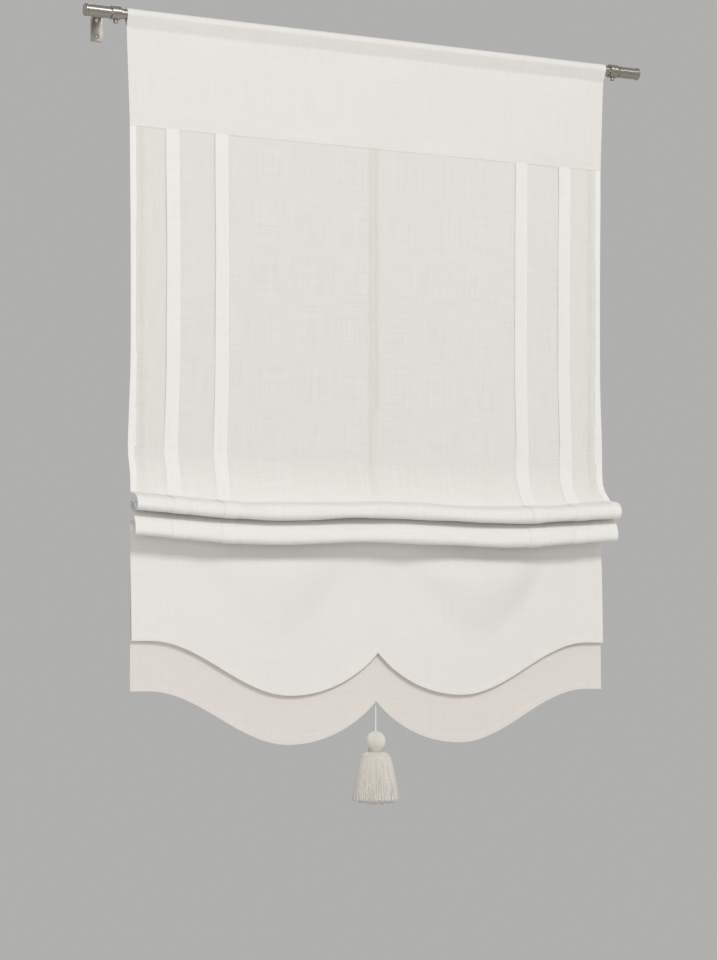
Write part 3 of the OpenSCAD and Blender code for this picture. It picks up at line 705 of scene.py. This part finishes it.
def make_tucks():
    runs = []
    for k, (name, middle) in enumerate(zip(TUCK_NAMES, TUCK_XS)):
        across, z = np.meshgrid(np.linspace(0, 1, 14), np.linspace(Z_SEAM, Z_FOLD, TUCK_ROWS), indexing="ij")
        waver = TUCK_WAVER * wander(z / TUCK_WAVER_LENGTH, np.full_like(z, k), 31) * (1 - across)
        waver = waver * ease((z - Z_FOLD) / TUCK_SETTLE)
        x = middle + TUCK_W * (across - 0.5) + waver
        y = CLOTH_Y + panel_ripple(x, z) - tuck_section(across, k, z)
        tuck = add_sheet(name + "_cloth", np.stack([panel_x(x, z), y, z], 2), TUCK_T)
        paint(tuck, tuck_linen)
        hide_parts(name)
        gather(tuck)
        line_x = middle + TUCK_W / 2 - TUCK_STITCH_IN
        zs = np.linspace(Z_SEAM - 0.001, Z_FOLD + 0.001, TUCK_ROWS)
        face = panel_ripple(np.full_like(zs, line_x), zs) - TUCK_T / 2
        face = face - tuck_section(np.full_like(zs, 0.9), k, zs)
        runs.append(np.stack([panel_x(line_x, zs), CLOTH_Y + face, zs], 1))
    for side in (-1, 1):
        line_x = side * (HALF_W - HEM_W + HEM_STITCH_IN)
        face = panel_ripple(np.full_like(zs, line_x), zs) - SHEER_T / 2 - SHEER_HEM_EXTRA / 2
        runs.append(np.stack([panel_x(line_x, zs), CLOTH_Y + face, zs], 1))
    stitches = add_stitches("panel_stitching", runs)
    paint(stitches, sewing_thread)
    gather(stitches)


make_tucks()


TAPE_TRIM = 0.0001
TAPE_GAP = 0.00005
TAPE_RIB = 0.25
TAPE_COLUMNS = 9
TAPE_NAMES = ["left_ring_tape", "centre_ring_tape", "right_ring_tape"]


def make_tapes():
    for name in TAPE_NAMES:
        low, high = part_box(name)
        xs, zs = np.linspace(low[0], high[0], TAPE_COLUMNS), np.linspace(high[2], low[2], PANEL_ROWS)
        x, z = np.meshgrid(xs, zs, indexing="ij")
        t = high[1] - low[1] - TAPE_TRIM
        y = CLOTH_Y + panel_ripple(x, z) + SHEER_T / 2 + t / 2 + TAPE_GAP
        ribs = 1 + TAPE_RIB * np.cos(np.linspace(0, 8 * math.pi, TAPE_COLUMNS))[:, None] * np.ones_like(z)
        tape = add_sheet(name + "_cloth", np.stack([x, y, z], 2), t * ribs / (1 + TAPE_RIB))
        paint(tape, tape_weave)
        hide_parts(name)
        gather(tape)


make_tapes()


# Gathered folds

def bezier(a, b, c, d, n):
    t = (np.arange(n) / n)[:, None]
    a, b, c, d = (np.array(p, float) for p in (a, b, c, d))
    return a * (1 - t) ** 3 + 3 * b * t * (1 - t) ** 2 + 3 * c * t ** 2 * (1 - t) + d * t ** 3


def arc(centre, r, start, end, n):
    w = np.radians(start + (end - start) * np.arange(n) / n)
    return np.array(centre) + r * np.stack([np.cos(w), np.sin(w)], 1)


# Points along each stretch of the fold line
HANG_STATIONS = 20
LIP_STATIONS = 18
ROLL_STATIONS = 14
TURN_STATIONS = 8
SPREAD_STATIONS = 22


def fold_line():
    """Forward reach and drop of the cloth: over the upper lip, back to its ring and over the lower lip."""
    hang = np.array([HANG_REACH, HANG_DROP])
    turn = np.array([TURN_R, RING_DROP])
    upper_back = UPPER_DEPTH - 2 * LIP_R
    lower_back = LOWER_DEPTH - 2 * LIP_R
    return np.concatenate([
        bezier((0, 0), (0, HANG_DROP / 2), hang - [2 * TURN_IN, 3 * TURN_IN], hang, HANG_STATIONS),
        bezier(hang, hang + [TURN_IN, 2 * TURN_IN],
               (UPPER_DEPTH, HANG_DROP), (UPPER_DEPTH, UPPER_LIP_DROP), LIP_STATIONS),
        arc((UPPER_DEPTH - LIP_R, UPPER_LIP_DROP), LIP_R, 0, 180, LIP_STATIONS),
        bezier((upper_back, UPPER_LIP_DROP), (upper_back, UPPER_LIP_DROP - ROLL_RISE),
               turn + [TURN_OUT, -TURN_R - TURN_IN], turn - [0, TURN_R], ROLL_STATIONS),
        arc(turn, TURN_R, 270, 90, TURN_STATIONS),
        bezier(turn + [0, TURN_R], turn + [LOWER_OUT, TURN_R],
               (LOWER_DEPTH, RING_DROP + SPREAD), (LOWER_DEPTH, LOWER_LIP_DROP), SPREAD_STATIONS),
        arc((LOWER_DEPTH - LIP_R, LOWER_LIP_DROP), LIP_R, 0, 180, LIP_STATIONS),
        bezier((lower_back, LOWER_LIP_DROP), (lower_back, LOWER_LIP_DROP - ROLL_RISE),
               (0, FOLD_DROP - SEAM_RISE), (0, FOLD_DROP), ROLL_STATIONS),
        [[0, FOLD_DROP]],
    ])


def lip_sag(u):
    return CENTRE_SAG * (1 - u ** 4) + SPAN_SAG * np.sin(math.pi * np.abs(u)) ** 2 - LIP_TILT * u


def fold_points(x, j, line):
    """Points of the folds at places x across the blind and stations j of the fold line."""
    along = np.gradient(line, axis=0)
    along /= np.linalg.norm(along, axis=1, keepdims=True)
    reach, drop = line[j, 0], line[j, 1]
    share = ease(reach / (LOWER_DEPTH / 2))
    s = run_lengths(line)[j]
    ripple = share * (ripples(x, s, *FOLD_BROAD) + ripples(x, s, *FOLD_FINE))
    spread = LIP_FLARE * share + PANEL_FLARE * (1 - share) * (1 - ease(drop / HANG_DROP))
    reach = reach + ripple * along[j, 1]
    drop = drop - ripple * along[j, 0] + share * lip_sag(x / HALF_W)
    return np.stack([x * (1 + spread / HALF_W), CLOTH_Y - reach, Z_FOLD - drop], 2)


def make_fold_tape(name, line):
    """The stretch of ring tape behind the hanging cloth, below the panel."""
    low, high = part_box(name)
    t = high[1] - low[1] - TAPE_TRIM
    x, j = np.meshgrid(np.linspace(low[0], high[0], TAPE_COLUMNS), np.arange(HANG_STATIONS + 4),
                       indexing="ij")
    base = fold_points(x, j, line)
    tape = add_sheet(name + "_end", base - grid_normals(base) * (SHEER_T / 2 + t / 2 + TAPE_GAP), t)
    paint(tape, tape_weave)
    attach(tape, "lift")
    return tape


FOLD_COLUMNS = 220


def make_folds():
    line = fold_line()
    stations = np.arange(len(line))
    edge = HALF_W - HEM_W
    xs = np.unique(np.concatenate([
        np.linspace(-HALF_W, HALF_W, FOLD_COLUMNS),
        [-edge - 2 * HEM_STEP, -edge, edge, edge + 2 * HEM_STEP],
    ]))
    x, j = np.meshgrid(xs, stations, indexing="ij")
    hem = np.abs(x) > edge + HEM_STEP
    folds = add_sheet("folded_cloth", fold_points(x, j, line), SHEER_T + SHEER_HEM_EXTRA * hem)
    paint(folds, fold_voile)
    folds.data.materials.append(tuck_linen)
    hemmed = np.zeros(len(folds.data.polygons), int)
    strips = np.repeat(np.abs(xs[:-1] + xs[1:]) / 2 > edge, len(line) - 1)
    hemmed[:2 * len(strips)] = np.tile(strips, 2)
    folds.data.polygons.foreach_set("material_index", hemmed)
    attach(folds, "lift")
    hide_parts("fold_stack")
    bands = [make_fold_tape(name, line) for name in TAPE_NAMES]
    for k, middle in enumerate(TUCK_XS):
        across, jj = np.meshgrid(np.linspace(0, 1, 12), stations, indexing="ij")
        xx = middle + TUCK_W * (across - 0.5)
        base = fold_points(xx, jj, line)
        away = SHEER_T / 2 + TUCK_T / 4 + TUCK_GAP + FOLD_TUCK_LIFT * (1 - across) ** TUCK_CURL
        band = add_sheet(f"fold_tuck_{k + 1}", base + grid_normals(base) * away[..., None], TUCK_T / 2)
        paint(band, tuck_linen)
        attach(band, "lift")
        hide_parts("fold_stack")
        bands.append(band)


make_folds()


# Skirts

def hem_drop(x):
    """Drop of the hem below the outer corners."""
    a = np.abs(x)
    flat_x = HALF_W - CORNER_FLAT
    rise = SCALLOP_DROP - CUSP_DROP
    r = (SCALLOP_X ** 2 + rise ** 2) / (2 * rise)
    slope = SCALLOP_DROP * (1 - np.cos(math.pi * (flat_x - a) / (flat_x - SCALLOP_X))) / 2
    scallop = SCALLOP_DROP - r + np.sqrt(np.maximum(r * r - (SCALLOP_X - a) ** 2, 0))
    return np.where(a >= flat_x, 0, np.where(a >= SCALLOP_X, slope, scallop))


SWAG_EDGE = 0.060
SWAG_TOP = 0.07
SWAG_HALF_W = HALF_W * 0.40
SWAG_CURVE = 1.8
LEFT_SWAG_X = -HALF_W * 0.42
RIGHT_SWAG_X = HALF_W * 0.43
SWAG_SWELLS = (0.011, 0.017)
SKIRT_SKIN = 0.0006
SKIRT_HELD = 0.05


def swag(x, z, middle, swell):
    """Forward swell of cloth that hangs slack between two lifting lines, rounded off at its lower edge."""
    depth = SKIRT_H * (1 - np.abs((x - middle) / SWAG_HALF_W) ** SWAG_CURVE)
    up = np.maximum(z - Z_SEW + depth, 0)
    full = np.where(depth > 0.001, ease(depth / SKIRT_H), 0)
    return swell * full * (1 - np.exp(-(up / SWAG_EDGE) ** 2)) * ease((Z_SEW - z) / SWAG_TOP)


def skirt_points(length, lean, skin, swells, rows=84, columns=240):
    x, t = np.meshgrid(np.linspace(-HALF_W, HALF_W, columns + 1), np.linspace(0, 1, rows), indexing="ij")
    z = Z_SEW - (length + hem_drop(x)) * t
    fall = ease((Z_SEW - z) / SKIRT_H)
    soft = ripples(x, z, *SKIRT_BROAD) - SKIRT_BROAD[0] + ripples(x, z, *SKIRT_FINE)
    y = CLOTH_Y + skin + lean * fall
    y = y - swag(x, z, LEFT_SWAG_X, swells[0]) - swag(x, z, RIGHT_SWAG_X, swells[1])
    return np.stack([x, y + soft * ease((Z_SEW - z) / SKIRT_HELD), z], 2)


HEM_BAND = 0.009
HEM_FULLER = 0.9
HEM_EDGE = 0.0008
STITCH_ABOVE_HEM = 0.0012


def make_skirt(name, node_name, length, lean, skin, swells, mat):
    points = skirt_points(length, lean, skin, swells)
    to_hem = grid_lengths(points[:, ::-1], 1)[:, ::-1]
    thickness = SKIRT_T * (1 + HEM_FULLER * ease((HEM_BAND - to_hem) / HEM_EDGE))
    skirt = add_sheet(name, points, thickness)
    paint(skirt, mat)
    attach(skirt, "lift")
    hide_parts(node_name)
    row = np.argmin(np.abs(to_hem - HEM_BAND - STITCH_ABOVE_HEM), axis=1)
    face = points + grid_normals(points) * (SKIRT_T / 2)
    run = face[np.arange(len(row)), row]
    stitches = add_stitches(name + "_stitching", [run])
    paint(stitches, sewing_thread)
    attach(stitches, "lift")


make_skirt("upper_skirt_cloth", "upper_skirt", SKIRT_H, -SKIRT_GAP, -SKIRT_SKIN, SWAG_SWELLS, skirt_linen)
make_skirt("lower_skirt_cloth", "lower_skirt", SKIRT_H + LOWER_EXTRA, 0, SKIRT_SKIN, (0, 0), lining_linen)


# Tassel

TASSEL_X, TASSEL_Y = PULL_X, CORD_Y
BALL_OPEN = math.radians(6)
COLLAR_WRAPS = 5
COLLAR_NECK = 0.9


def revolve(name, radii, zs, sides, ridges=0, depth=0.0):
    """A closed turned form on the tassel's axis, with fine ridges down it like wound thread."""
    angle = 2 * math.pi * np.arange(sides) / sides
    ridge = 1 - depth * (0.5 - 0.5 * np.cos(ridges * angle))
    r = np.asarray(radii)[:, None] * ridge[None, :]
    verts = np.stack([TASSEL_X + r * np.cos(angle), TASSEL_Y + r * np.sin(angle),
                      np.repeat(np.asarray(zs)[:, None], sides, 1)], 2).reshape(-1, 3)
    n = len(zs)
    a, b = ring_corners(n, sides)
    faces = [list(f) for f in np.stack([a, a + sides, b + sides, b], 1)]
    faces.append(list(range(sides)))
    faces.append([(n - 1) * sides + q for q in range(sides)][::-1])
    return add_mesh(name, verts, faces, sharp=50)


def make_tassel():
    ball_r = (ball_high[2] - ball_low[2]) / 2
    ball_z = (ball_high[2] + ball_low[2]) / 2
    w = np.linspace(BALL_OPEN, math.pi - BALL_OPEN, 40)
    ball = revolve("tassel_ball_wound", ball_r * np.sin(w), ball_z + ball_r * np.cos(w), 384,
                   ridges=96, depth=0.025)
    paint(ball, ball_silk_painted_shade)
    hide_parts("tassel_ball")
    collar_r = (collar_high[0] - collar_low[0]) / 2
    t = np.linspace(0, 1, 12 * COLLAR_WRAPS)
    bulge = collar_r * (COLLAR_NECK + (1 - COLLAR_NECK) * np.abs(np.sin(COLLAR_WRAPS * math.pi * t)))
    collar = revolve("tassel_collar_bound", bulge, collar_high[2] + (collar_low[2] - collar_high[2]) * t, 96)
    paint(collar, ball_silk_painted_shade)
    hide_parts("tassel_collar")
    strands = make_fringe(collar_r)
    pieces = [ball, collar] + strands
    for piece in pieces:
        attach(piece, "pull")
    return pieces


FRINGE_BELLY = 0.009
SHOULDER_SHARE = 0.62
SHOULDER_T = 0.1
FRINGE_CURVE = 0.75
CORE_WIDE = 0.95
CORE_LONG = 0.96
DOME_CLOSED = 0.98
DOME_LONG = 0.9
THREAD_TOP_IN = 0.0004
THREAD_MIN_R = 0.001

# Threads in each layer of the fringe: count, share of the bell's radius, thread radius and share of the belly
FRINGE_LAYERS = (
    (240, 0.99, 0.00060, 0.0),
    (230, 0.965, 0.00065, 0.15),
    (110, 0.72, 0.0008, 0.6),
    (40, 0.35, 0.0008, 0.85),
)


def fringe_radius(t, top, rim):
    """Radius of the bell at a share t of its length: a round shoulder, then an even flare to the rim."""
    shoulder = SHOULDER_SHARE * rim
    rounded = top + (shoulder - top) * np.sin(np.clip(t / SHOULDER_T, 0, 1) * math.pi / 2)
    flared = shoulder + (rim - shoulder) * np.clip((t - SHOULDER_T) / (1 - SHOULDER_T), 0, 1) ** FRINGE_CURVE
    return np.where(t < SHOULDER_T, rounded, flared)


def make_fringe(top_r):
    """A bell of separate threads over a denser core, longer towards the middle."""
    rng = np.random.default_rng(7)
    rim = (fringe_high[0] - fringe_low[0]) / 2
    z_top = fringe_high[2]
    length = z_top - fringe_low[2] - FRINGE_BELLY
    t = np.linspace(0, 1, 30)
    dome = np.linspace(0, 1, 8)[1:]
    dome_r = rim * CORE_WIDE * np.cos(dome * math.pi / 2 * DOME_CLOSED)
    dome_z = z_top - length * CORE_LONG - DOME_LONG * FRINGE_BELLY * np.sin(dome * math.pi / 2)
    core_r = np.append(fringe_radius(t, top_r, rim) * CORE_WIDE, dome_r)
    core_z = np.append(z_top - t * length * CORE_LONG, dome_z)
    core = revolve("tassel_fringe_core", core_r, core_z, 240, ridges=60, depth=0.05)
    paint(core, tassel_silk_painted_shade)
    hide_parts("tassel_fringe")
    verts, faces = [], []
    rings, sides = 14, 5
    around = 2 * math.pi * np.arange(sides) / sides
    for count, inset, radius, longer in FRINGE_LAYERS:
        for k in range(count):
            angle = 2 * math.pi * (k + rng.uniform(-0.35, 0.35)) / count
            reach = (length + FRINGE_BELLY * longer) * rng.uniform(0.975, 0.995)
            u = np.linspace(0, 1, rings)
            w = angle + rng.uniform(-0.06, 0.06) * u * u
            bell_r = fringe_radius(u, top_r * 0.9, rim) * inset * rng.uniform(0.975, 1.0)
            r = np.maximum(bell_r - radius, THREAD_MIN_R)
            z = z_top - THREAD_TOP_IN - u * reach
            base = len(verts)
            for q in range(rings):
                out = np.array([math.cos(w[q]), math.sin(w[q]), 0.0])
                tangent = np.array([-out[1], out[0], 0.0])
                spot = np.array([TASSEL_X, TASSEL_Y, z[q]]) + r[q] * out
                verts.extend(spot + radius * (math.cos(c) * out + math.sin(c) * tangent) for c in around)
            for q in range(rings - 1):
                for c in range(sides):
                    a, b = base + q * sides + c, base + q * sides + (c + 1) % sides
                    faces.append((a, a + sides, b + sides, b))
            faces.append(tuple(base + c for c in range(sides)))
            faces.append(tuple(base + (rings - 1) * sides + c for c in reversed(range(sides))))
    threads = add_mesh("tassel_fringe_threads", verts, faces)
    paint(threads, tassel_silk_painted_shade)
    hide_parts("tassel_fringe")
    return [core, threads]


tassel_pieces = make_tassel()


# Stage, light and backdrop tone

FLOOR_Z = -2.2
FLOOR_R = 3.0
BACKDROP = (0.43, 0.43, 0.425, 1)
middle = (0, CLOTH_Y, -0.55)


def make_world():
    world = bpy.data.worlds.new("studio")
    world.use_nodes = True
    background = world.node_tree.nodes["Background"]
    background.inputs["Color"].default_value = BACKDROP
    background.inputs["Strength"].default_value = 1.0
    bpy.context.scene.world = world
    bpy.context.scene.view_settings.view_transform = "Standard"


def make_floor():
    corners = [(sx * FLOOR_R, sy * FLOOR_R, FLOOR_Z) for sx, sy in ((-1, -1), (1, -1), (1, 1), (-1, 1))]
    floor = add_mesh("floor", corners, [(0, 1, 2, 3)])
    mat, tree, shader, _ = new_material("pale_floor")
    coords = tree.nodes.new("ShaderNodeTexCoord")
    speck = node(tree, "ShaderNodeTexNoise", Vector=coords.outputs["Object"], Scale=14.0, Detail=4.0)
    tree.links.new(ramp(tree, speck.outputs["Fac"], (0.63, 0.62, 0.60, 1), (0.65, 0.64, 0.62, 1)),
                   shader.inputs["Base Color"])
    shader.inputs["Roughness"].default_value = 0.7
    floor.data.materials.append(mat)


def add_light(name, location, target, size, power, colour=(1, 1, 1)):
    data = bpy.data.lights.new(name, "AREA")
    data.shape = "RECTANGLE"
    data.size, data.size_y = size
    data.energy = power
    data.color = colour
    light = bpy.data.objects.new(name, data)
    light.location = location
    light.rotation_euler = (Vector(target) - Vector(location)).to_track_quat("-Z", "Y").to_euler()
    light.visible_camera = False
    bpy.context.scene.collection.objects.link(light)


make_world()
make_floor()
add_light("key", (0.0, -4.95, 2.5), middle, (1.2, 1.2), 134, (1.0, 0.985, 0.95))
add_light("fill", (-2.4, -3.9, -0.8), middle, (1.6, 1.6), 40)
add_light("back", (0.8, 3.0, 0.9), middle, (2.0, 2.0), 38)
add_light("strip", (1.6, -3.4, 1.9), (0, CLOTH_Y, 0), (2.2, 0.15), 14)
